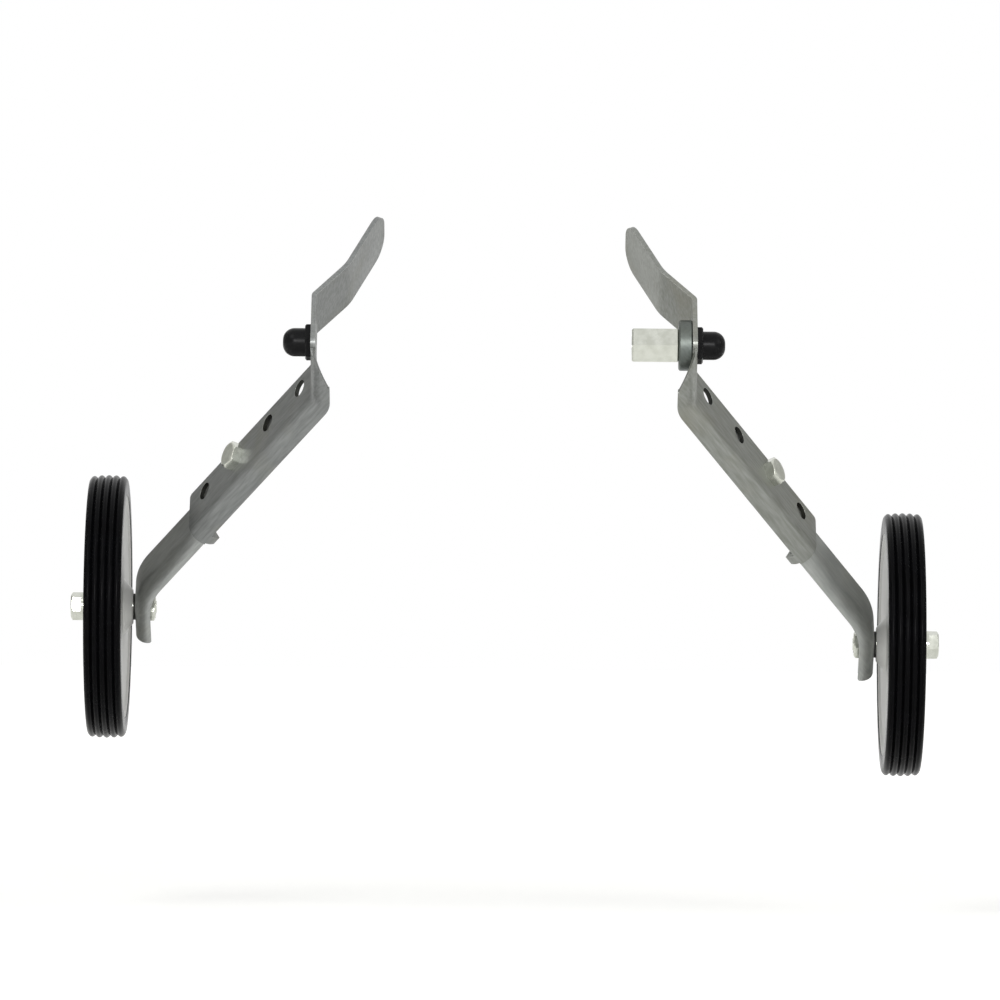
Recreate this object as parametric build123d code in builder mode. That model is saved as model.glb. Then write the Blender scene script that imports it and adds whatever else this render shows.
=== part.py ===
from build123d import *
import os
from math import cos, radians, sin

# A pair of adjustable bicycle training wheels. Millimetres, +X to the right, +Y forward, +Z up.
# The origin is on the rear axle's line, midway between the outer faces of the two bracket ears.
# Every piece is drawn once, in the right-hand bracket's own frame: x outward from the ear's outer
# face, y across the arm, z up the arm, with the axle along x through the frame's origin.

# Stance of the pair
ear_span = 198.0
right_clocking = 45.0
left_clocking = 50.0
right_extension = 5.5
left_extension = 0.0

# Sheet steel shared by bracket and strut
sheet = 2.5
slide_gap = 0.3
brace_fold_radius = 4.0
arm_fold_radius = 9.0

# Bracket ear and arm
splay = 31.5
ear_drop = 25.5
ear_rise = 13.0
arm_length = 125.5
arm_above = 8.0
arm_below = 12.0
roll_radius = 9.2
arm_roll = 94.0
ear_roll_taper = 22.0
ear_corner = 4.0
arm_corner = 2.0
axle_hole = 10.6

# Holes along the arm
hole_diameter = 9.5
hole_pitch = 32.5
hole_count = 4
hole_end_margin = 15.5
clamp_hole = 3

# Brace that reaches in to the frame's stay
brace_fold = 22.0
brace_fall = 17.0
brace_splay = 39.0
brace_knee = 27.0
brace_tip_splay = 24.0
brace_length = 42.0
brace_bend = 25.0
brace_corner = 11.0
brace_root = 5.0

# Hook that keeps the strut's rolled edge in the arm
hook_length = 6.0
hook_inset = 1.0
hook_turn = 128.0
hook_overlap = 6.0
hook_lip = 5.2
hook_lip_turn = 11.0

# Strut
strut_top = 40.0
strut_offset = 96.0
strut_roll = 108.0
strut_roll_round = 1.4
strut_bend = 50.0
strut_tail = 13.5
strut_end_above = 7.6
strut_taper_start = 100.0
strut_taper_end = 121.0
strut_corner = 3.0
strut_end_round = 6.5
slot_clearance = 0.3
draw_out = 18.5
push_in = 15.5

# Wheel axle, measured from the bike's axle in the bracket's frame
wheel_drop = 210.3
wheel_aside = -4.4

# Wheel and tyre
tyre_diameter = 140.0
tyre_width = 19.6
tyre_thickness = 11.0
rib_count = 5
rib_depth = 1.5
tyre_crown = 0.8
rim_recess = 0.3
rim_wall = 3.2
key_width = 8.0
key_height = 3.0
key_chamfer = 0.5
disc_thickness = 3.0
hub_diameter = 18.0
hub_flare = 30.0
hub_length = 26.0
hub_inner_proud = 3.6
disc_inset = 1.0
rim_dish = 2.5
spoke_count = 6
spoke_thickness = 2.6
spoke_height = 9.0
spoke_bite = 1.5
side_play = 0.2
seat_gap = 0.05

# Running fit of the wheel on its sleeve
sleeve_diameter = 12.0
running_clearance = 0.05
bore_clearance = 0.1

# Fasteners
bolt_diameter = 8.0
bolt_flats = 13.0
bolt_head = 5.3
nut_height = 6.5
bolt_proud = 0.5
washer_diameter = 15.0
washer_thickness = 1.6
hub_washer_diameter = 14.0
hub_washer_thickness = 1.2
edge_break = 0.7

# Axle cap nuts, and the extension stud and collar that carry the right bracket clear of the gears
axle_diameter = 10.0
thread_clearance = 0.1
cap_flats = 17.0
cap_base = 3.0
cap_diameter = 14.6
cap_length = 14.4
cap_round = 6.0
cap_bore_depth = 9.5
stud_flats = 17.0
stud_hexagon = 24.0
stud_socket = 14.0
stud_short = 0.5
collar_diameter = 26.0
collar_length = 7.0

# Directions in the bracket's frame: down the arm, and out from its face
arm_down = Vector(sin(radians(splay)), 0, -cos(radians(splay)))
arm_out = Vector(cos(radians(splay)), 0, sin(radians(splay)))
arm_fold = Vector(0, 0, -ear_drop)
across = Vector(0, 1, 0)
last_hole = arm_length - hole_end_margin
clamp_at = last_hole - (hole_count - clamp_hole) * hole_pitch
strut_sink = sheet + slide_gap
strut_roll_radius = roll_radius - strut_sink
slot_width = bolt_diameter + 2 * slot_clearance


def arm_point(along, below=0.0):
    """A point on the arm's hole line, so far down from the fold and so far below the outer face."""
    return arm_fold + arm_down * along - arm_out * below


def arm_section_plane(along, below=0.0):
    """A plane square to the arm: sketch x runs across the arm and sketch y out from its face."""
    return Plane(origin=arm_point(along, below), x_dir=across, z_dir=arm_down)


def arm_face_plane(along, below=0.0):
    """A plane on the arm's face: sketch x runs across the arm and the normal points out."""
    return Plane(origin=arm_point(along, below), x_dir=across, z_dir=arm_out)


def rolled_section(radius, start, turn, thickness):
    """The rolled edge of a sheet: a ring sector whose outer arc leaves the face at the web's edge."""
    with BuildSketch() as ring:
        with BuildLine():
            centre = (-arm_below, -radius)
            outer = CenterArc(centre, radius, 90 + start, turn - start)
            inner = CenterArc(centre, radius - thickness, 90 + start, turn - start)
            Line(outer @ 0, inner @ 0)
            Line(outer @ 1, inner @ 1)
        make_face()
    return ring.sketch


def web_section(above, thickness):
    """The flat of a sheet section, from its upper edge to where the rolled edge starts."""
    with Locations(((above - arm_below) / 2, -thickness / 2)):
        Rectangle(above + arm_below, thickness)


def axle_plane(along):
    """A plane square to the wheel's axle, so far out from the strut's outer face."""
    return Plane(origin=(strut_offset + along, wheel_aside, -wheel_drop), x_dir=across, z_dir=(1, 0, 0))


def washer(plane, outer, inner, thickness):
    """A flat ring standing on a plane."""
    with BuildPart() as ring:
        with BuildSketch(plane):
            Circle(outer / 2)
            Circle(inner / 2, mode=Mode.SUBTRACT)
        extrude(amount=thickness)
    return ring.part


def hex_nut(plane, height):
    """A hexagon nut standing on a plane, with its outer corners broken and a plain bore."""
    with BuildPart() as nut:
        with BuildSketch(plane):
            RegularPolygon(bolt_flats / 2, 6, major_radius=False)
        extrude(amount=height)
        chamfer(nut.faces().sort_by(Axis((0, 0, 0), plane.z_dir))[-1].edges(), edge_break)
        with BuildSketch(plane):
            Circle(bolt_diameter / 2 + thread_clearance)
        extrude(amount=height, mode=Mode.SUBTRACT)
    return nut.part


def hex_bolt(plane, shank):
    """A hexagon bolt whose head stands on a plane and whose shank runs back through it."""
    with BuildPart() as bolt:
        with BuildSketch(plane):
            RegularPolygon(bolt_flats / 2, 6, major_radius=False)
        extrude(amount=bolt_head)
        chamfer(bolt.faces().sort_by(Axis((0, 0, 0), plane.z_dir))[-1].edges(), edge_break)
        with BuildSketch(plane):
            Circle(bolt_diameter / 2)
        extrude(amount=-shank)
        chamfer(bolt.faces().sort_by(Axis((0, 0, 0), plane.z_dir))[0].edges(), edge_break)
    return bolt.part


# Bracket: ear, brace and arm pressed from one sheet
brace_root_way = Vector(-sin(radians(brace_splay)), cos(radians(brace_splay)), 0)
brace_tip_way = Vector(-sin(radians(brace_tip_splay)), cos(radians(brace_tip_splay)), 0)
brace_tip_out = Vector(cos(radians(brace_tip_splay)), sin(radians(brace_tip_splay)), 0)
ear_roll_top = ear_rise - ear_corner
with BuildPart() as bracket:
    with BuildSketch(Plane.XZ.offset(-arm_above)):
        with BuildLine():
            arm_tip = arm_point(arm_length)
            face = FilletPolyline(
                (0, ear_rise), (0, -ear_drop), (arm_tip.X, arm_tip.Z), radius=arm_fold_radius
            )
            offset(face, amount=sheet, side=Side.RIGHT)
        make_face()
    extrude(amount=arm_above + arm_below)
    arm_corners = bracket.edges().filter_by(Axis((0, 0, 0), arm_out)).sort_by(Axis.Y)
    fillet(arm_corners.sort_by_distance(arm_tip + across * arm_above)[0], arm_corner)
    with BuildSketch(Plane.XY.offset(-brace_fall)):
        with BuildLine():
            knee = Vector(0, brace_fold, 0) + brace_root_way * brace_knee
            brace_tip = knee + brace_tip_way * brace_length
            face = FilletPolyline(
                (0, -arm_below),
                (0, brace_fold),
                (knee.X, knee.Y),
                (brace_tip.X, brace_tip.Y),
                radius=[brace_fold_radius, brace_bend],
            )
            offset(face, amount=sheet, side=Side.LEFT)
        make_face()
    extrude(amount=brace_fall + ear_rise)
    fillet(bracket.edges().filter_by(Axis((0, 0, 0), brace_tip_out)).sort_by(Axis.Y)[-2:], brace_corner)
    ear_corners = bracket.edges().filter_by(Axis.X)
    fillet(ear_corners.sort_by_distance((0, -arm_below, ear_rise))[0], ear_corner)
    ear_corners = bracket.edges().filter_by(Axis.X)
    fillet(ear_corners.sort_by_distance((0, arm_above, -brace_fall))[0], brace_root)
    # Rolled edge down the ear, round the fold and along the arm, which runs out to nothing at the top
    with BuildLine(Plane.XZ) as roll_path:
        FilletPolyline((0, ear_roll_top), (0, -ear_drop), (arm_tip.X, arm_tip.Z), radius=arm_fold_radius)
    with BuildSketch(Plane(origin=(0, 0, ear_roll_top), x_dir=across, z_dir=(0, 0, -1))):
        add(rolled_section(roll_radius, 0, arm_roll, sheet))
    sweep(path=roll_path.wires()[0])
    with BuildSketch(Plane.XZ.offset(arm_below)):
        Polygon(
            (-sheet / 2, ear_roll_top),
            (-2 * roll_radius, ear_roll_top),
            (-2 * roll_radius, ear_roll_top - ear_roll_taper),
            (-roll_radius, ear_roll_top - ear_roll_taper),
            align=None,
        )
    extrude(amount=2 * roll_radius, mode=Mode.SUBTRACT)
    # Hook that turns in under the strut's edge
    with BuildSketch(arm_section_plane(arm_length - hook_inset - hook_length)):
        add(rolled_section(roll_radius, arm_roll - hook_overlap, hook_turn, sheet))
        add(rolled_section(roll_radius, hook_turn - hook_lip_turn, hook_turn, hook_lip))
    extrude(amount=hook_length)
    with BuildSketch(arm_face_plane(last_hole)):
        with Locations([(0, step * hole_pitch) for step in range(hole_count)]):
            Circle(hole_diameter / 2)
    extrude(amount=-2 * sheet, mode=Mode.SUBTRACT)
    with BuildSketch(Plane.YZ):
        Circle(axle_hole / 2)
    extrude(amount=-2 * sheet, mode=Mode.SUBTRACT)

# Strut: one sheet section swept down the arm and round the bend to the wheel
bend_at = (strut_offset + strut_sink * arm_out.X) / arm_down.X
strut_start = arm_point(strut_top, strut_sink)
strut_knee = arm_point(bend_at, strut_sink)
strut_end_z = -wheel_drop - strut_tail
strut_end_edge = wheel_aside + strut_end_above
with BuildPart() as strut:
    with BuildLine(Plane.XZ) as strut_path:
        FilletPolyline(
            (strut_start.X, strut_start.Z),
            (strut_knee.X, strut_knee.Z),
            (strut_offset, strut_end_z),
            radius=strut_bend,
        )
    with BuildSketch(arm_section_plane(strut_top, strut_sink)):
        web_section(arm_above, sheet)
        add(rolled_section(strut_roll_radius, 0, strut_roll, sheet))
    sweep(path=strut_path.wires()[0])
    with BuildSketch(arm_face_plane(0, strut_sink)):
        Polygon(
            (arm_above, -strut_taper_start),
            (strut_end_edge, -strut_taper_end),
            (strut_end_edge, -2 * bend_at),
            (2 * arm_above, -2 * bend_at),
            (2 * arm_above, -strut_taper_start),
            align=None,
        )
    extrude(amount=strut_offset, both=True, mode=Mode.SUBTRACT)
    tops = strut.edges().filter_by(Axis((0, 0, 0), arm_out))
    fillet(tops.sort_by_distance(strut_start + across * arm_above)[0], strut_corner)
    ends = strut.edges().filter_by(Axis.X)
    fillet(ends.sort_by_distance((strut_offset, strut_end_edge, strut_end_z))[0], strut_end_round)
    roll_mid = strut_roll_radius - sheet / 2
    roll_corner = Vector(
        strut_offset - strut_roll_radius + roll_mid * cos(radians(strut_roll)),
        -arm_below - roll_mid * sin(radians(strut_roll)),
        strut_end_z,
    )
    fillet(strut.edges().sort_by_distance(roll_corner)[0], strut_roll_round)
    with BuildSketch(arm_face_plane(clamp_at, strut_sink)):
        with Locations((0, (draw_out - push_in) / 2)):
            SlotCenterToCenter(draw_out + push_in, slot_width, rotation=90)
    extrude(amount=-2 * sheet, mode=Mode.SUBTRACT)
    with BuildSketch(axle_plane(0)):
        Circle(bolt_diameter / 2 + bore_clearance)
    extrude(amount=-2 * sheet, mode=Mode.SUBTRACT)

# Clamp bolt through the arm and the strut's slot, with its washer and nut underneath
clamp_seat = 2 * sheet + slide_gap
clamp_grip = clamp_seat + washer_thickness + nut_height
clamp_bolt = hex_bolt(arm_face_plane(clamp_at), clamp_grip + bolt_proud)
under_arm = Plane(origin=arm_point(clamp_at, clamp_seat), x_dir=across, z_dir=-arm_out)
clamp_washer = washer(under_arm, washer_diameter, bolt_diameter + 2 * bore_clearance, washer_thickness)
clamp_nut = hex_nut(under_arm.offset(washer_thickness), nut_height)

# Stack along the wheel's axle, from the strut's outer face
sleeve_length = hub_length + 2 * side_play
sleeve_end = hub_washer_thickness + sleeve_length
bolt_seat = sleeve_end + washer_thickness
nut_seat = sheet + washer_thickness
bolt_bore = bolt_diameter + 2 * bore_clearance
inner_side = Plane(origin=axle_plane(-sheet).origin, x_dir=across, z_dir=(-1, 0, 0))
wheel_bolt = hex_bolt(axle_plane(bolt_seat), bolt_seat + nut_seat + nut_height + bolt_proud)
outer_washer = washer(axle_plane(sleeve_end), washer_diameter, bolt_bore, washer_thickness)
hub_washer = washer(axle_plane(0), hub_washer_diameter, bolt_bore, hub_washer_thickness)
axle_sleeve = washer(axle_plane(hub_washer_thickness), sleeve_diameter, bolt_bore, sleeve_length)
nut_washer = washer(inner_side, washer_diameter, bolt_bore, washer_thickness)
wheel_nut = hex_nut(inner_side.offset(washer_thickness), nut_height)

# Wheel: disc and rim, with a key round the rim that holds the tyre
hub_start = hub_washer_thickness + side_play
hub_end = hub_start + hub_length
tyre_start = hub_start + hub_inner_proud
tyre_end = tyre_start + tyre_width
rim_start = tyre_start + rim_recess
rim_end = tyre_end - rim_recess
key_start = (tyre_start + tyre_end - key_width) / 2
key_end = key_start + key_width
tyre_radius = tyre_diameter / 2
tyre_bore = tyre_radius - tyre_thickness
seat_radius = tyre_bore - seat_gap
key_radius = seat_radius + key_height
barrel_radius = seat_radius - rim_wall
disc_edge = barrel_radius - rim_dish
disc_start = rim_start + disc_inset
disc_end = disc_start + disc_thickness
disc_bore = hub_flare / 2 + seat_gap
hub_bore = sleeve_diameter / 2 + running_clearance
wheel_axis = Axis(axle_plane(0).origin, (1, 0, 0))
wheel_profile = Plane(origin=axle_plane(0).origin, x_dir=(1, 0, 0), z_dir=(0, -1, 0))
with BuildPart() as wheel:
    with BuildSketch(wheel_profile):
        with BuildLine():
            Polyline(
                (disc_start, disc_bore),
                (disc_start, disc_edge),
                (rim_start, barrel_radius),
                (rim_start, seat_radius),
                (key_start, seat_radius),
                (key_start, key_radius),
                (key_end, key_radius),
                (key_end, seat_radius),
                (rim_end, seat_radius),
                (rim_end, barrel_radius),
                (disc_end, disc_edge),
                (disc_end, disc_bore),
                close=True,
            )
        make_face()
    revolve(axis=wheel_axis)
    key_edges = wheel.edges().filter_by(GeomType.CIRCLE).group_by(SortBy.RADIUS)[-1]
    chamfer(key_edges, key_chamfer)

# Hub and spokes, moulded with the wheel: the spokes stand on the disc and end at the rim's inner wall
with BuildPart() as hub:
    with BuildSketch(wheel_profile):
        with BuildLine():
            Polyline(
                (hub_start, hub_bore),
                (hub_start, hub_diameter / 2),
                (disc_start, hub_flare / 2),
                (disc_end, hub_flare / 2),
                (hub_end, hub_diameter / 2),
                (hub_end, hub_bore),
                close=True,
            )
        make_face()
    revolve(axis=wheel_axis)
    with BuildSketch(axle_plane(disc_end)):
        with PolarLocations((hub_flare / 2 + disc_edge) / 2, spoke_count):
            Rectangle(disc_edge - hub_flare / 2 + 2 * spoke_bite, spoke_thickness)
    extrude(amount=spoke_height)
    add(wheel.part, mode=Mode.SUBTRACT)

# Tyre: a crowned rubber band with rounded ribs round it and a groove inside for the rim's key
rib_pitch = tyre_width / rib_count


def crown(along):
    """The radius over the ribs, which falls with the square of the distance from mid width."""
    return tyre_radius - tyre_crown * (2 * (along - tyre_start) / tyre_width - 1) ** 2


with BuildPart() as tyre:
    with BuildSketch(wheel_profile):
        with BuildLine():
            for rib in range(rib_count):
                rib_start = tyre_start + rib * rib_pitch
                rib_end = rib_start + rib_pitch
                ThreePointArc(
                    (rib_start, crown(rib_start) - rib_depth),
                    (rib_start + rib_pitch / 2, crown(rib_start + rib_pitch / 2)),
                    (rib_end, crown(rib_end) - rib_depth),
                )
            Polyline(
                (tyre_start, crown(tyre_start) - rib_depth),
                (tyre_start, tyre_bore),
                (key_start - seat_gap, tyre_bore),
                (key_start - seat_gap, key_radius + seat_gap),
                (key_end + seat_gap, key_radius + seat_gap),
                (key_end + seat_gap, tyre_bore),
                (tyre_end, tyre_bore),
                (tyre_end, crown(tyre_end) - rib_depth),
            )
        make_face()
    revolve(axis=wheel_axis)

# Cap nut that holds the ear on the axle
with BuildPart() as cap_nut:
    with BuildSketch(Plane.YZ):
        RegularPolygon(cap_flats / 2, 6, major_radius=False)
    extrude(amount=cap_base)
    chamfer(cap_nut.faces().sort_by(Axis.X)[-1].edges(), edge_break)
    with BuildSketch(Plane.YZ):
        Circle(cap_diameter / 2)
    extrude(amount=cap_length)
    fillet(cap_nut.faces().sort_by(Axis.X)[-1].edges(), cap_round)
    with BuildSketch(Plane.YZ):
        Circle(axle_diameter / 2 + thread_clearance)
    extrude(amount=cap_bore_depth, mode=Mode.SUBTRACT)

# Extension stud that carries the right ear clear of the gears: a hexagon with a socket for the axle's
# end and a corner to the rear, and a threaded end for the cap nut. The collar backs the ear.
stud_seat = -sheet - collar_length
with BuildPart() as axle_stud:
    with BuildSketch(Plane.YZ.offset(stud_seat - stud_hexagon)):
        RegularPolygon(stud_flats / 2, 6, major_radius=False, rotation=-right_clocking)
    extrude(amount=stud_hexagon)
    chamfer(axle_stud.faces().sort_by(Axis.X)[-1].edges(), edge_break)
    chamfer(axle_stud.faces().sort_by(Axis.X)[0].edges(), edge_break)
    with BuildSketch(Plane.YZ.offset(stud_seat)):
        Circle(axle_diameter / 2)
    extrude(amount=cap_bore_depth - stud_short - stud_seat)
    chamfer(axle_stud.faces().sort_by(Axis.X)[-1].edges(), edge_break)
    with BuildSketch(Plane.YZ.offset(stud_seat - stud_hexagon)):
        Circle(axle_diameter / 2 + thread_clearance)
    extrude(amount=stud_socket, mode=Mode.SUBTRACT)
with BuildPart() as axle_collar:
    with BuildSketch(Plane.YZ.offset(stud_seat)):
        Circle(collar_diameter / 2)
        Circle(axle_diameter / 2 + thread_clearance, mode=Mode.SUBTRACT)
    extrude(amount=collar_length)
    rims = axle_collar.edges().filter_by(GeomType.CIRCLE).group_by(SortBy.RADIUS)[-1]
    chamfer(rims, edge_break)

# Both hands: each piece is drawn out with the strut, mirrored for the left, then clocked to its angle
on_bracket = {
    "bracket": bracket.part,
    "clamp_bolt": clamp_bolt,
    "clamp_washer": clamp_washer,
    "clamp_nut": clamp_nut,
    "axle_cap_nut": cap_nut.part,
}
on_strut = {
    "strut": strut.part,
    "wheel_bolt": wheel_bolt,
    "outer_washer": outer_washer,
    "hub_washer": hub_washer,
    "axle_sleeve": axle_sleeve,
    "nut_washer": nut_washer,
    "wheel_nut": wheel_nut,
    "wheel": wheel.part,
    "hub": hub.part,
    "tyre": tyre.part,
}
right_only = {"axle_stud": axle_stud.part, "axle_collar": axle_collar.part}


def hand_in(piece, name, extension, clocking, left_hand):
    """Place one piece on its side of the bike and write it as a node of its own."""
    placed = piece.moved(Location(arm_down * extension + Vector(ear_span / 2, 0, 0)))
    placed = placed.rotate(Axis.X, clocking)
    if left_hand:
        placed = placed.mirror(Plane.YZ)
    placed.label = name
    export_step(placed, f"parts/{name}.step")


os.makedirs("parts", exist_ok=True)
for name, piece in (on_bracket | right_only).items():
    hand_in(piece, f"{name}_right", 0, right_clocking, False)
for name, piece in on_strut.items():
    hand_in(piece, f"{name}_right", right_extension, right_clocking, False)
for name, piece in on_bracket.items():
    hand_in(piece, f"{name}_left", 0, left_clocking, True)
for name, piece in on_strut.items():
    hand_in(piece, f"{name}_left", left_extension, left_clocking, True)
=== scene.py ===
# %% [markdown]
# # A pair of bicycle training wheels
#
# Two pressed-steel brackets hang from a bike's rear axle. A strut slides in each bracket and
# carries a small plastic wheel with a ribbed rubber tyre. The solid parts come from CAD and stay
# where they are. This lesson gives them their finishes, and remakes the few pieces whose fine
# shape shows: the tyres, the bolts, the nuts and the broken edges of the sheet steel.

# %% Load the CAD frame
from math import cos, pi, radians, sin

import bmesh
import bpy
import numpy as np
from mathutils import Matrix, Vector


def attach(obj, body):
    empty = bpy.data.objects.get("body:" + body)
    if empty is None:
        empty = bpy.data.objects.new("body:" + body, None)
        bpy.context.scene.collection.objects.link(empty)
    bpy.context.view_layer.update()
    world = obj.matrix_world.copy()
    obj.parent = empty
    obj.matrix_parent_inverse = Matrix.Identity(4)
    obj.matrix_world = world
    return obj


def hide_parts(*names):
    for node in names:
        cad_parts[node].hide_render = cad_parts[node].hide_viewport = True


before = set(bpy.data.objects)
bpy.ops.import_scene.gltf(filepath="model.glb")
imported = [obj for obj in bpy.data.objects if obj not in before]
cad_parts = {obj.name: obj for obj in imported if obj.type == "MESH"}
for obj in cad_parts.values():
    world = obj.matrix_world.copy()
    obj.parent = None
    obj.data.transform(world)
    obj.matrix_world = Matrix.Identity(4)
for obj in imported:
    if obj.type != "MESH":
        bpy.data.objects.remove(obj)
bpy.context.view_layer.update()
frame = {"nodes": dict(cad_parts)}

nodes = frame["nodes"]

# %% [markdown]
# ## Where each bracket is
#
# Both sides are drawn in the same local frame: x outward from the ear, y across the arm and z up
# the arm, in millimetres, with the bike's axle along x. One 4 by 4 matrix a side carries that
# frame to the world: shift out to the ear, turn about the axle, and mirror for the left.

# %% Frames of the two sides
SPLAY = radians(31.5)
EAR_HALF_SPAN = 99.0
CLOCKING = {"right": radians(45.0), "left": radians(50.0)}
EXTENSION = {"right": 5.5, "left": 0.0}
SIDES = ("right", "left")
MM = 0.001
arm_down = np.array([sin(SPLAY), 0.0, -cos(SPLAY)])
arm_out = np.array([cos(SPLAY), 0.0, sin(SPLAY)])
across = np.array([0.0, 1.0, 0.0])
wheel_axle = np.array([96.0, -4.4, -210.3])


def to_world(points, side, extension=0.0):
    """Carry local millimetres to world metres: slide along the arm, shift to the ear, turn about the
    axle by the side's clocking, and mirror x on the left."""
    p = np.asarray(points, float) + extension * arm_down + np.array([EAR_HALF_SPAN, 0.0, 0.0])
    c, s = cos(CLOCKING[side]), sin(CLOCKING[side])
    hand = 1.0 if side == "right" else -1.0
    turn = np.array([[hand, 0.0, 0.0], [0.0, c, s], [0.0, -s, c]])
    return p @ turn * MM


def direction(local, side):
    """A local direction as a unit vector in the world."""
    way = to_world(local, side) - to_world(np.zeros(3), side)
    return way / np.linalg.norm(way)


for side in SIDES:
    print(side, "wheel centre line at", to_world(wheel_axle, side, EXTENSION[side]).round(4))

# %% [markdown]
# ## Surfaces from grids
#
# Every new piece is a grid of points worked out by numpy at once. A grid can be closed round either
# of its two directions. Poles, where a whole row shrinks to one point, are merged, and then the
# normals are made to point outwards.

# %% Grid to mesh
MERGE_DISTANCE = 1e-6


def grid_piece(name, grid, close_u=False, close_v=True, smooth=35.0):
    """Quads between neighbouring points of a (u, v, 3) array; a closed direction joins its last row
    to its first. Faces that meet at less than the smooth angle are shaded as one surface."""
    u, v = grid.shape[:2]
    index = np.arange(u * v).reshape(u, v)
    ahead = np.roll(index, -1, axis=0)
    beside = np.roll(index, -1, axis=1)
    corner = np.roll(ahead, -1, axis=1)
    quads = np.stack([index, ahead, corner, beside], axis=-1)
    quads = quads[: u if close_u else u - 1, : v if close_v else v - 1].reshape(-1, 4)
    mesh = bpy.data.meshes.new(name)
    mesh.from_pydata(grid.reshape(-1, 3).tolist(), [], quads.tolist())
    work = bmesh.new()
    work.from_mesh(mesh)
    bmesh.ops.remove_doubles(work, verts=work.verts, dist=MERGE_DISTANCE)
    bmesh.ops.recalc_face_normals(work, faces=work.faces)
    work.to_mesh(mesh)
    work.free()
    mesh.shade_smooth()
    mesh.set_sharp_from_angle(angle=radians(smooth))
    piece = bpy.data.objects.new(name, mesh)
    bpy.context.scene.collection.objects.link(piece)
    return piece


def round_angles(steps):
    """Equal steps round a full turn, as one row."""
    return np.linspace(0.0, 2.0 * pi, steps, endpoint=False)[None, :]


def turned(along, radius, steps, centre, axis, start):
    """Rows turned about an axis: each point is the centre, plus along times the axis, plus the radius
    times a unit vector that goes round from start. The radius can differ at each step round."""
    angle = round_angles(steps)[..., None]
    round_way = np.cos(angle) * start + np.sin(angle) * np.cross(axis, start)
    return centre + along[:, None, None] * axis + radius[..., None] * round_way


ring = turned(np.zeros(1), np.full((1, 1), 10.0), 4, np.zeros(3), across, np.array([1.0, 0.0, 0.0]))
print("a circle of radius 10 in four steps:", ring.round(1).tolist())


# %% [markdown]
# ## Helpers for materials
#
# Colours are written as sRGB hex values, as a colour picker shows them, and one function turns them
# to the linear values that shaders use. One more function adds a node, its settings and its links.

# %% Colour and node helpers
WHITE = (1.0, 1.0, 1.0, 1.0)


def linear(hex_colour):
    """sRGB hex to linear RGBA: values under 0.04045 are divided by 12.92, the rest follow the 2.4
    power. The alpha is 1."""
    c = np.array([int(hex_colour[i : i + 2], 16) for i in (1, 3, 5)]) / 255.0
    c = np.where(c <= 0.04045, c / 12.92, ((c + 0.055) / 1.055) ** 2.4)
    return (*c.tolist(), 1.0)


def fit(tree, node, **inputs):
    """Fill a node's inputs, each with a plain value or with another node's socket. A key is the
    input's name with underscores for spaces, or the letter i and the input's number."""
    for key, value in inputs.items():
        numbered = key[0] == "i" and key[1:].isdigit()
        socket = node.inputs[int(key[1:]) if numbered else key.replace("_", " ")]
        if isinstance(value, bpy.types.NodeSocket):
            tree.links.new(value, socket)
        else:
            socket.default_value = value


def add_node(tree, kind, settings=None, **inputs):
    """Add a node: settings are its own properties, and its inputs are filled by fit."""
    node = tree.nodes.new(kind)
    for key, value in (settings or {}).items():
        setattr(node, key, value)
    fit(tree, node, **inputs)
    return node


def ramp(tree, factor, stops):
    """A colour ramp: each stop is a position and a linear colour, blended in between."""
    node = add_node(tree, "ShaderNodeValToRGB", None, Fac=factor)
    elements = node.color_ramp.elements
    elements[0].position, elements[0].color = stops[0]
    elements[1].position, elements[1].color = stops[-1]
    for position, colour in stops[1:-1]:
        elements.new(position).color = colour
    return node.outputs["Color"]


def mottle(tree, size, detail=3.0, turn=(0.0, 0.0, 0.0)):
    """Noise whose patches are size metres wide on each axis: a Mapping node divides Object
    coordinates by that size."""
    where = add_node(tree, "ShaderNodeTexCoord").outputs["Object"]
    at = add_node(
        tree, "ShaderNodeMapping", {"vector_type": "TEXTURE"}, Vector=where, Rotation=turn, Scale=size
    )
    noise = add_node(tree, "ShaderNodeTexNoise", None, Vector=at.outputs[0], Scale=1.0, Detail=detail)
    return noise.outputs["Fac"]


def map_range(tree, value, from_min, from_max, to_min, to_max):
    """Carry a value from one range to another in a straight line, held at both ends."""
    return add_node(
        tree, "ShaderNodeMapRange", None, Value=value, i1=from_min, i2=from_max, i3=to_min, i4=to_max
    ).outputs[0]


def spread(tree, factor, low, high):
    """Map the middle of a noise, 0.3 to 0.7, onto a range."""
    return map_range(tree, factor, 0.3, 0.7, low, high)


def grain(tree, size, strength, distance):
    """A bump from fine noise: grain of a given size, its strength and its height in metres."""
    height = mottle(tree, (size,) * 3, 2.0)
    return add_node(
        tree, "ShaderNodeBump", None, Height=height, Strength=strength, Distance=distance
    ).outputs[0]


def new_material(name):
    """A node material with its shader linked to its output: returns the material, tree and shader."""
    material = bpy.data.materials.new(name)
    material.use_nodes = True
    tree = material.node_tree
    return material, tree, tree.nodes["Principled BSDF"]


def dress(piece, *materials):
    """Put materials on a piece's own slots."""
    piece.data.materials.clear()
    for material in materials:
        piece.data.materials.append(material)


def kind_of(node):
    """A node's name without its side."""
    return node.rsplit("_", 1)[0]


print("mid grey #808080 as linear:", np.round(linear("#808080"), 3).tolist())

# %% [markdown]
# ## Dull zinc plate on pressed sheet
#
# The brackets and struts are mild steel sheet, pressed to shape and then electroplated with zinc.
# The plate is a dull mid grey: a metal, but a rough one, and the struts are a shade paler than the
# brackets. The rolling of the sheet leaves faint streaks along the arm, the plating bath leaves
# cloudy patches a few centimetres wide, and the clear passivate over it adds a trace of olive. The
# streaks need the arm's own direction, so a Mapping node turns Object coordinates to the arm and
# divides them by the size of the pattern.

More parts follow.
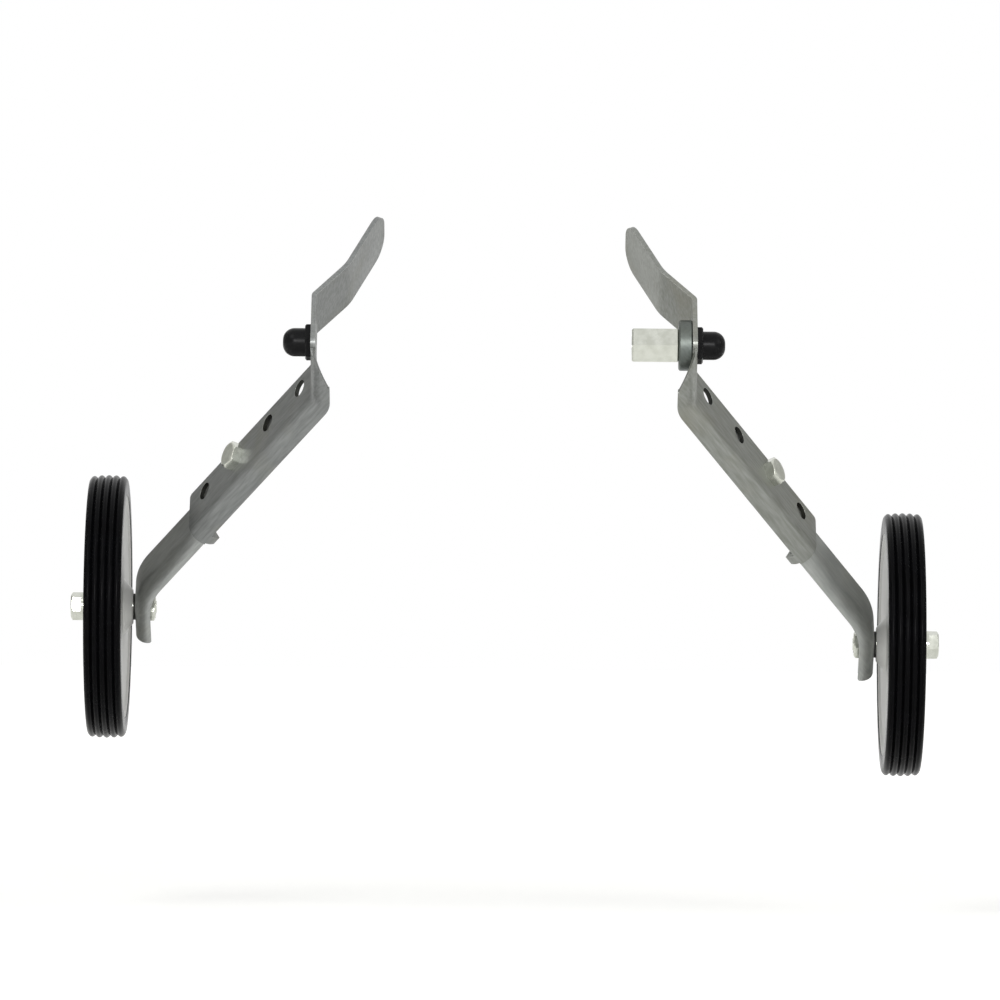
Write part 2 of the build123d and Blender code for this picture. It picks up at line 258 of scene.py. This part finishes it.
# %% Zinc plate finish
def zinc_plate(name, side, light, dark, olive, rough):
    """Streaks 12 mm long and 1.2 mm wide along the arm, clouds 28 mm wide, and a 0.7 mm grain."""
    material, tree, shader = new_material(name)
    along, cross = direction(arm_down, side), direction(across, side)
    turn = Matrix(np.stack([along, cross, np.cross(along, cross)], axis=1).tolist()).to_euler()
    streak = mottle(tree, (0.012, 0.0012, 0.0012), 3.0, turn)
    cloud = mottle(tree, (0.028,) * 3, 4.0)
    base = ramp(tree, streak, [(0.34, linear(dark)), (0.66, linear(light))])
    stain = ramp(tree, cloud, [(0.52, (0, 0, 0, 1)), (0.78, (0.6, 0.6, 0.6, 1))])
    tinted = add_node(tree, "ShaderNodeMix", {"data_type": "RGBA"}, i0=stain, i6=base, i7=linear(olive))
    fit(
        tree, shader, Base_Color=tinted.outputs[2], Roughness=spread(tree, cloud, *rough), Metallic=0.95,
        Normal=grain(tree, 0.0007, 0.06, 0.0002),
    )
    return material


# Painted light: the right side's zinc is set lighter than the left's, for the brighter light that falls
# from the right.
zinc = {
    (part, side): zinc_plate(f"dull_zinc_{part}_{side}", side, *colours)
    for part, side, colours in (
        ("bracket", "right", ("#929490", "#80827c", "#89877a", (0.36, 0.46))),
        ("bracket", "left", ("#8a8c8b", "#797b7a", "#818177", (0.36, 0.46))),
        ("strut", "right", ("#acaeab", "#9c9f9c", "#a3a399", (0.50, 0.60))),
        ("strut", "left", ("#a8aaa8", "#969896", "#9d9d93", (0.36, 0.46))),
    )
}
cut_zinc = {
    side: zinc_plate(f"worn_zinc_edge_{side}", side, "#b2b4b0", "#a2a4a0", "#a9a899", (0.24, 0.34))
    for side in SIDES
}
# Painted shade: a near-black copy of the zinc for the walls of the arm's holes.
painted_shade_zinc = {
    side: zinc_plate(f"painted_shade_zinc_bore_{side}", side, "#3a3b38", "#2f302d", "#36342c", (0.5, 0.6))
    for side in SIDES
}
# Painted shade: the axle collar is the same zinc, set darker for the shade that falls on it.
collar_painted_shade = zinc_plate("collar_zinc_painted_shade", "right", "#676d6b", "#5a605e", "#63655c", (0.34, 0.46))
dress(nodes["axle_collar_right"], collar_painted_shade)
finishes = (*zinc.values(), *cut_zinc.values(), *painted_shade_zinc.values(), collar_painted_shade)
print("zinc finishes:", [m.name for m in finishes])

# %% [markdown]
# ## Broken edges on the sheet
#
# A sheared edge is never quite sharp, and the thin line of light along it tells the eye how thick
# the sheet is. A copy of each sheet part is merged into one skin, its flat facets are joined, and a
# Bevel modifier breaks every edge by a quarter of a millimetre. The bevel's faces take a second
# material, because plating is rubbed brighter there. The walls of the arm's holes take a third, a
# near-black zinc: painted shade, for the shade inside the holes.

# %% Sheet parts with broken edges
ARM_TOP = np.array([0.0, 0.0, -25.5])
HOLE_R, HOLES_DOWN_ARM, CLAMP_HOLE = 4.75, (12.5, 45.0, 77.5, 110.0), 2
EDGE_BREAK, FLAT_ANGLE, SHADE_ANGLE, EDGE_ANGLE = 0.25 * MM, radians(0.4), radians(30), radians(38)


def bore_faces(mesh, side):
    """True for the faces that lie in the arm's holes: the middle is no farther than the hole's radius
    from its axis, give or take a hundredth, and the normal is square to that axis."""
    middles, normals = np.empty((2, len(mesh.polygons), 3), np.float32)
    mesh.polygons.foreach_get("center", middles.ravel())
    mesh.polygons.foreach_get("normal", normals.ravel())
    axis = direction(arm_out, side)
    centres = to_world(ARM_TOP + np.array(HOLES_DOWN_ARM)[:, None] * arm_down, side)
    away = np.linalg.norm(np.cross(middles[None] - centres[:, None], axis), axis=2).min(axis=0)
    return (away < 1.01 * HOLE_R * MM) & (np.abs(normals @ axis) < 0.3)


def broken_edges(node, side, materials):
    """A merged copy of a CAD node whose edges over 38 degrees are cut back by a narrow bevel. The
    materials are those of the sheet, its broken edges and the painted shade on the walls of its holes."""
    mesh = nodes[node].data.copy()
    work = bmesh.new()
    work.from_mesh(mesh)
    bmesh.ops.remove_doubles(work, verts=work.verts, dist=MERGE_DISTANCE)
    bmesh.ops.dissolve_limit(
        work, angle_limit=FLAT_ANGLE, use_dissolve_boundaries=False, verts=work.verts, edges=work.edges
    )
    work.to_mesh(mesh)
    work.free()
    mesh.shade_smooth()
    mesh.set_sharp_from_angle(angle=SHADE_ANGLE)
    piece = bpy.data.objects.new(f"{node}_skin", mesh)
    bpy.context.scene.collection.objects.link(piece)
    dress(piece, *materials)
    # The walls of the bracket's holes take material 2, the painted shade.
    painted_shade_walls = bore_faces(mesh, side) & (kind_of(node) == "bracket")
    mesh.polygons.foreach_set("material_index", np.where(painted_shade_walls, 2, 0).astype(np.int32))
    edge = piece.modifiers.new("broken_edge", "BEVEL")
    edge.width = EDGE_BREAK
    edge.segments = 2
    edge.limit_method = "ANGLE"
    edge.angle_limit = EDGE_ANGLE
    edge.material = 1
    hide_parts(node)
    return piece


for side in SIDES:
    for part, body in (("bracket", "brackets"), ("strut", f"strut_{side}")):
        materials = zinc[part, side], cut_zinc[side], painted_shade_zinc[side]
        skin = broken_edges(f"{part}_{side}", side, materials)
        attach(skin, body)
        print(skin.name, "faces before the bevel:", len(skin.data.polygons))

# %% [markdown]
# ## Bright zinc on the fasteners
#
# Bolts and nuts are plated in a barrel, so their zinc is brighter and smoother than the sheet's,
# with a faint yellow-green cast from the passivate. Handling leaves soft differences in gloss.

# %% Bright zinc finish
def bright_zinc():
    """Clouds 4 mm wide change the gloss and tint a little over a bright, fairly smooth metal."""
    material, tree, shader = new_material("bright_zinc_fastener")
    cloud = mottle(tree, (0.004,) * 3)
    base = ramp(tree, cloud, [(0.35, linear("#c2c4ba")), (0.65, linear("#cfd1c8"))])
    fit(tree, shader, Base_Color=base, Roughness=spread(tree, cloud, 0.16, 0.24), Metallic=1.0)
    return material


bright = bright_zinc()
plain_bright = ("clamp_washer", "outer_washer", "axle_sleeve", "nut_washer", "axle_stud")
for name in filter(lambda node: kind_of(node) in plain_bright, nodes):
    dress(nodes[name], bright)
print("bright zinc:", bright.name)

# %% [markdown]
# ## Hexagon bolts
#
# A bolt is one surface of two parameters: how far along it, and how far round. Round the head the
# radius is the smaller of a hexagon and a cone, and where the cone cuts the hexagon's corners the
# curved chamfer of a real bolt head appears by itself. Near the tip the radius follows a thread:
# a triangle wave of the distance along, shifted by one pitch for each turn.

# %% Bolts
FLATS, HEAD, SHANK_R, PITCH, THREAD = 13.0, 5.3, 4.0, 1.25, 0.62
CORNER_R, CHAMFER_R, CHAMFER_DEPTH, CONE_MARGIN = FLATS / 2.0 / cos(pi / 6.0), 0.46 * FLATS, 1.1, 0.3
TIP_CHAMFER, THREADED, THREAD_ROWS, RUN_OUT_ROWS = 0.9, 9.0, 10, 12.0
ROUND_STEPS = 96


def hexagon(angle):
    """Distance from the centre to a hexagon's side: half the flats over the cosine of the angle to
    the middle of the nearest side."""
    return FLATS / 2.0 / np.cos((angle + pi / 6.0) % (pi / 3.0) - pi / 6.0)


def bolt_grid(seat, axis, start, length):
    """A bolt from the middle of its head's top to its tip. seat is the point under the head, axis
    points out of the head, and only the last stretch of the shank carries the thread, which deepens
    from nothing over its first rows."""
    dish = np.array([[HEAD, 0.0], [HEAD, 0.45 * FLATS]])
    slope = np.linspace([HEAD, CHAMFER_R], [HEAD - CHAMFER_DEPTH, CORNER_R + CONE_MARGIN], 12)
    foot = np.array([[0.35, CORNER_R + CONE_MARGIN], [0.0, CORNER_R + 0.1], [0.0, SHANK_R]])
    plain = np.array([[THREADED - length, SHANK_R]])
    turns = np.linspace(THREADED - length, TIP_CHAMFER - length, int(THREADED / PITCH * THREAD_ROWS))
    thread = np.stack([turns, np.full_like(turns, SHANK_R)], axis=1)
    tip = np.array([[-length, SHANK_R - TIP_CHAMFER], [-length, 0.0]])
    profile = np.concatenate([dish, slope, foot, plain, thread, tip])
    angle = round_angles(ROUND_STEPS)
    radius = np.minimum(profile[:, 1:2], hexagon(angle))
    wave = (profile[:, 0:1] / PITCH - angle / (2.0 * pi)) % 1.0
    first = len(dish) + len(slope) + len(foot) + len(plain)
    cut = np.zeros(len(profile))
    cut[first : first + len(thread)] = np.clip(np.arange(len(thread)) / RUN_OUT_ROWS, 0.0, 1.0)
    radius = radius - cut[:, None] * THREAD * np.abs(2.0 * wave - 1.0)
    return turned(profile[:, 0], radius, ROUND_STEPS, seat, axis, start)


SHEET, GAP, WASHER, NUT, PROUD, BOLT_SEAT = 2.5, 0.3, 1.6, 6.5, 0.5, 29.2
clamp_seat = ARM_TOP + HOLES_DOWN_ARM[CLAMP_HOLE] * arm_down
clamp_length = 2 * SHEET + GAP + WASHER + NUT + PROUD
outward = np.array([1.0, 0.0, 0.0])
wheel_seat = wheel_axle + BOLT_SEAT * outward
wheel_bolt_length = BOLT_SEAT + SHEET + WASHER + NUT + PROUD
for side in SIDES:
    for node, body, grid, slide in (
        (f"clamp_bolt_{side}", "brackets", bolt_grid(clamp_seat, arm_out, across, clamp_length), 0.0),
        (
            f"wheel_bolt_{side}", f"strut_{side}",
            bolt_grid(wheel_seat, outward, across, wheel_bolt_length), EXTENSION[side],
        ),
    ):
        bolt = grid_piece(f"{node}_turned", to_world(grid, side, slide), smooth=28.0)
        dress(bolt, bright)
        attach(bolt, body)
        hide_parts(node)
        print(bolt.name, "faces:", len(bolt.data.polygons))

# %% [markdown]
# ## Hexagon nuts
#
# A nut is a ring: its profile goes up the outside, over the chamfered top, down the bore and back
# under. The outside is again the smaller of a hexagon and two cones.

# %% Nuts
BORE_R, SINK = 4.15, 0.6


def nut_grid(seat, axis, start):
    """A closed ring with a hexagon outside, cones at both ends and a countersunk bore."""
    bottom = np.linspace([0.0, CHAMFER_R], [CHAMFER_DEPTH, CORNER_R + CONE_MARGIN], 10)
    top = bottom[::-1] * [-1.0, 1.0] + [NUT, 0.0]
    bore = np.array([[NUT, BORE_R + SINK], [NUT - SINK, BORE_R], [SINK, BORE_R], [0.0, BORE_R + SINK]])
    profile = np.concatenate([bottom, top, bore])
    radius = np.minimum(profile[:, 1:2], hexagon(round_angles(ROUND_STEPS)))
    return turned(profile[:, 0], radius, ROUND_STEPS, seat, axis, start)


clamp_nut_seat = clamp_seat - (2 * SHEET + GAP + WASHER) * arm_out
wheel_nut_seat = wheel_axle - (SHEET + WASHER) * outward
for side in SIDES:
    for node, body, grid, slide in (
        (f"clamp_nut_{side}", "brackets", nut_grid(clamp_nut_seat, -arm_out, across), 0.0),
        (f"wheel_nut_{side}", f"strut_{side}", nut_grid(wheel_nut_seat, -outward, across), EXTENSION[side]),
    ):
        nut = grid_piece(f"{node}_turned", to_world(grid, side, slide), close_u=True, smooth=28.0)
        dress(nut, bright)
        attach(nut, body)
        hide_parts(node)
        print(nut.name, "faces:", len(nut.data.polygons))

# %% [markdown]
# ## Rubber tyres
#
# The tyre is a solid band of black rubber with five rounded ribs. Its profile is a closed loop: the
# ribs are a row of parabolas with narrow grooves between them, on a slightly crowned tread. The
# rubber is a deep black that throws back little light, a touch greyer where it has been handled,
# with a very fine moulded grain.

# %% Tyre finish
def black_rubber():
    """Clouds 9 mm wide lift the black a little, and a 0.5 mm grain breaks the highlight."""
    material, tree, shader = new_material("black_rubber")
    cloud = mottle(tree, (0.009,) * 3, 4.0)
    base = ramp(tree, cloud, [(0.35, linear("#050506")), (0.7, linear("#08080a"))])
    fit(
        tree, shader, Base_Color=base, Roughness=spread(tree, cloud, 0.20, 0.30), Specular_IOR_Level=0.04,
        Normal=grain(tree, 0.0005, 0.06, 0.0001),
    )
    return material


rubber = black_rubber()
print("tyre finish:", rubber.name)

# %% Tyres
TYRE_R, TYRE_W, TYRE_T, RIBS, RIB_DEPTH, CROWN = 70.0, 19.6, 11.0, 5, 1.5, 0.8
KEY_WIDTH, KEY_HEIGHT, SEAT_GAP, TYRE_START = 8.0, 3.0, 0.05, 5.0
RIB_POINTS, SIDE_CORNER, TYRE_STEPS = 14, 0.5, 288


def tyre_profile():
    """Ribs: the radius falls with the square of the distance from each rib's middle, and by the crown
    with the square of the distance from mid width. The sides, the bore and its groove close the loop."""
    t = np.linspace(0.0, 1.0, RIB_POINTS, endpoint=False)
    rib = np.arange(RIBS)[:, None]
    along = ((rib + t) / RIBS * TYRE_W).ravel()
    fall = np.tile(RIB_DEPTH * (2.0 * t - 1.0) ** 2, RIBS)
    tread = np.stack([along, TYRE_R - fall - CROWN * (2.0 * along / TYRE_W - 1.0) ** 2], axis=1)
    bore = TYRE_R - TYRE_T
    groove, eased = bore + KEY_HEIGHT, bore + SIDE_CORNER
    near, far = (TYRE_W - KEY_WIDTH) / 2.0 - SEAT_GAP, (TYRE_W + KEY_WIDTH) / 2.0 + SEAT_GAP
    rest = np.array([
        [TYRE_W, TYRE_R - RIB_DEPTH - CROWN], [TYRE_W, eased], [TYRE_W - SIDE_CORNER, bore], [far, bore],
        [far, groove], [near, groove], [near, bore], [SIDE_CORNER, bore], [0.0, eased],
    ])
    return np.concatenate([tread, rest])


profile = tyre_profile()
tyre_seat = wheel_axle + TYRE_START * outward
tyre_grid = turned(profile[:, 0], profile[:, 1:2], TYRE_STEPS, tyre_seat, outward, across)
for side in SIDES:
    points = to_world(tyre_grid, side, EXTENSION[side])
    tyre = grid_piece(f"ribbed_tyre_{side}", points, close_u=True, smooth=50.0)
    dress(tyre, rubber)
    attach(tyre, f"wheel_{side}")
    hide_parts(f"tyre_{side}")
    print(tyre.name, "faces:", len(tyre.data.polygons))

# %% [markdown]
# ## Moulded plastic wheels
#
# The wheels are moulded in light-grey polypropylene. The surface is satin, slightly uneven in gloss
# where the plastic cooled, and a touch darker where dust settles. The hubs are painted a little
# paler than disc and rim: painted light, which lifts the shade between the strut and the disc.

# %% Wheel finish
def polypropylene(name, low, high):
    """Clouds 16 mm wide move the grey a little, and a 0.6 mm grain softens the gloss."""
    material, tree, shader = new_material(name)
    cloud = mottle(tree, (0.016,) * 3, 4.0)
    base = ramp(tree, cloud, [(0.3, linear(low)), (0.7, linear(high))])
    fit(
        tree, shader, Base_Color=base, Roughness=spread(tree, cloud, 0.36, 0.48), IOR=1.49,
        Normal=grain(tree, 0.0006, 0.06, 0.0001),
    )
    return material


plastic = polypropylene("grey_polypropylene", "#a0a09d", "#ababa8")
# Painted light: the hubs take a paler copy of the plastic, against the shade between strut and disc.
hub_plastic_painted_light = polypropylene("hub_polypropylene_painted_light", "#bdbdba", "#c8c8c5")
for side in SIDES:
    dress(nodes[f"wheel_{side}"], plastic)
    dress(nodes[f"hub_{side}"], hub_plastic_painted_light)
print("wheels:", plastic.name, "hubs:", hub_plastic_painted_light.name)

# %% [markdown]
# ## Black parts
#
# The cap nuts are black: a satin coat over steel that shows a soft highlight. The washer between
# each hub and its strut is dark too, but matt.

# %% Black finishes
def black_coat(name, low, high, rough, gloss):
    """Clouds 5 mm wide move the black and its gloss a little."""
    material, tree, shader = new_material(name)
    cloud = mottle(tree, (0.005,) * 3, 4.0)
    base = ramp(tree, cloud, [(0.35, linear(low)), (0.65, linear(high))])
    fit(tree, shader, Base_Color=base, Roughness=spread(tree, cloud, *rough), Specular_IOR_Level=gloss)
    return material


black = black_coat("black_satin_coat", "#0a0a0b", "#101011", (0.26, 0.36), 0.1)
dark = black_coat("dark_washer", "#1b1b1a", "#272726", (0.5, 0.65), 0.3)
for side in SIDES:
    dress(nodes[f"axle_cap_nut_{side}"], black)
    dress(nodes[f"hub_washer_{side}"], dark)
print("black finishes:", black.name, dark.name)

# %% [markdown]
# ## Studio
#
# The photograph has a plain white studio. The world is white to the camera and in reflections, and
# lights the object more gently than that. Soft lamps stand above it on the left, on the right and
# near the camera, and the floor throws some light back up. The floor lies at the height of the
# ground under the bike, a little below the wheels. It keeps their faint shadows and fades to white
# with distance.
#
# Metal shows what stands round it, so three cards outside the picture give it a room to reflect: a
# pale wall on each side and a dim one behind the camera. The camera looks through them.

# %% Floor, light and world
FLOOR_Z, FLOOR_GLOW, FAR_GLOW, ROOM_LEVEL = -0.298, 0.29, 0.62, 0.58
FLOOR_HALF, FADE_START, FADE_END = 6.0, 0.5, 2.0
MATT = 0.9


def seen_rays(tree):
    """1 for rays from the camera, from mirror-like surfaces and through glass, and 0 for the rest."""
    rays = add_node(tree, "ShaderNodeLightPath").outputs
    pair = add_node(
        tree, "ShaderNodeMath", {"operation": "MAXIMUM"}, i0=rays["Is Camera Ray"], i1=rays["Is Glossy Ray"]
    )
    return add_node(
        tree, "ShaderNodeMath", {"operation": "MAXIMUM"}, i0=pair.outputs[0], i1=rays["Is Transmission Ray"]
    ).outputs[0]


def card(name, corner, along, up):
    """A flat card: a corner and the two edges that leave it."""
    corner, along, up = (np.asarray(v, float) for v in (corner, along, up))
    mesh = bpy.data.meshes.new(name)
    mesh.from_pydata([corner, corner + along, corner + along + up, corner + up], [], [[0, 1, 2, 3]])
    piece = bpy.data.objects.new(name, mesh)
    bpy.context.scene.collection.objects.link(piece)
    return piece


floor_span = 2.0 * FLOOR_HALF
floor = card("floor", (-FLOOR_HALF, -FLOOR_HALF, FLOOR_Z), (floor_span, 0.0, 0.0), (0.0, floor_span, 0.0))
paper, paper_tree, paper_shader = new_material("pale_paper")
paper_at = add_node(paper_tree, "ShaderNodeTexCoord").outputs["Object"]
far_off = add_node(paper_tree, "ShaderNodeVectorMath", {"operation": "LENGTH"}, i0=paper_at)
fade = map_range(paper_tree, far_off.outputs["Value"], FADE_START, FADE_END, FLOOR_GLOW, FAR_GLOW)
glow = add_node(
    paper_tree, "ShaderNodeMath", {"operation": "MULTIPLY"}, i0=seen_rays(paper_tree), i1=fade
)
fit(
    paper_tree, paper_shader, Base_Color=linear("#f4f4f2"), Roughness=MATT, Specular_IOR_Level=0.0,
    Emission_Color=WHITE, Emission_Strength=glow.outputs[0],
)
dress(floor, paper)
WALL = ((0.0, 5.0, 0.0), (0.0, 0.0, 2.2))
CARDS = {
    "left_wall": ((-1.9, -0.8, FLOOR_Z), *WALL, "#dcdcda"),
    "right_wall": ((1.9, -0.8, FLOOR_Z), *WALL, "#f0f0ee"),
    "room_behind_camera": ((-1.1, -5.5, FLOOR_Z), (2.2, 0.0, 0.0), (0.0, 0.0, 1.3), "#3a3a3c"),
}


def card_finish(name, colour):
    """A matt colour on a card that the camera looks through."""
    finish, tree, shader = new_material(name)
    fit(tree, shader, Base_Color=linear(colour), Roughness=MATT)
    clear = add_node(tree, "ShaderNodeBsdfTransparent", None, Color=WHITE).outputs[0]
    camera_ray = add_node(tree, "ShaderNodeLightPath").outputs["Is Camera Ray"]
    blend = add_node(tree, "ShaderNodeMixShader", None, i0=camera_ray, i1=shader.outputs[0], i2=clear)
    tree.links.new(blend.outputs[0], tree.nodes["Material Output"].inputs["Surface"])
    return finish


for name, (corner, along, up, colour) in CARDS.items():
    finish = card_finish(name, colour)
    dress(card(name, corner, along, up), finish)

world = bpy.data.worlds.new("studio")
bpy.context.scene.world = world
world.use_nodes = True
wtree = world.node_tree
back = wtree.nodes["Background"]
level = map_range(wtree, seen_rays(wtree), 0.0, 1.0, ROOM_LEVEL, 1.0)
fit(wtree, back, Color=WHITE, Strength=level)


def soft_box(name, place, aim, size, power):
    """A square area lamp at a place, turned so that it looks at its aim."""
    lamp = bpy.data.lights.new(name, "AREA")
    lamp.size = size
    lamp.energy = power
    holder = bpy.data.objects.new(name, lamp)
    bpy.context.scene.collection.objects.link(holder)
    turn = (Vector(aim) - Vector(place)).to_track_quat("-Z", "Y").to_matrix()
    holder.matrix_world = Matrix.Translation(place) @ turn.to_4x4()


MIDDLE = (0.0, 0.0, -0.1)
soft_box("key", (-0.9, -1.2, 1.5), MIDDLE, 1.0, 9.0)
soft_box("fill", (1.4, -0.9, 0.9), MIDDLE, 1.0, 5.0)
soft_box("front", (0.0, -3.4, 0.7), MIDDLE, 0.8, 50.0)

# %% [markdown]
# ## Camera
#
# The photograph was taken from behind, level with the wheels and from a few metres away. At 4 m a
# frame 0.513 m wide holds the object as the photograph does, with a trace of roll.

# %% Camera
camera_data = bpy.data.cameras.new("camera")
camera = bpy.data.objects.new("camera", camera_data)
bpy.context.scene.collection.objects.link(camera)
PIXELS_WIDE, PIXELS_A_MM = 1000, 1.95
FRAME_WIDTH, DISTANCE, SENSOR = PIXELS_WIDE / PIXELS_A_MM * MM, 4.0, 36.0
CAMERA_X, CAMERA_Z, ROLL = -0.0014, -0.080, radians(0.5)
camera_data.sensor_fit = "HORIZONTAL"
camera_data.sensor_width = SENSOR
camera_data.lens = SENSOR * DISTANCE / FRAME_WIDTH
camera.matrix_world = (
    Matrix.Translation((CAMERA_X, -DISTANCE, CAMERA_Z))
    @ Matrix.Rotation(pi / 2, 4, "X")
    @ Matrix.Rotation(ROLL, 4, "Z")
)
bpy.context.scene.camera = camera
bpy.context.scene.view_settings.view_transform = "Standard"
print("lens:", round(camera_data.lens, 1), "mm")

# %% [markdown]
# ## Bring the scene up to date
#
# The view layer is updated, so that every dressed piece stands where it was put.

# %% Sizes
bpy.context.view_layer.update()
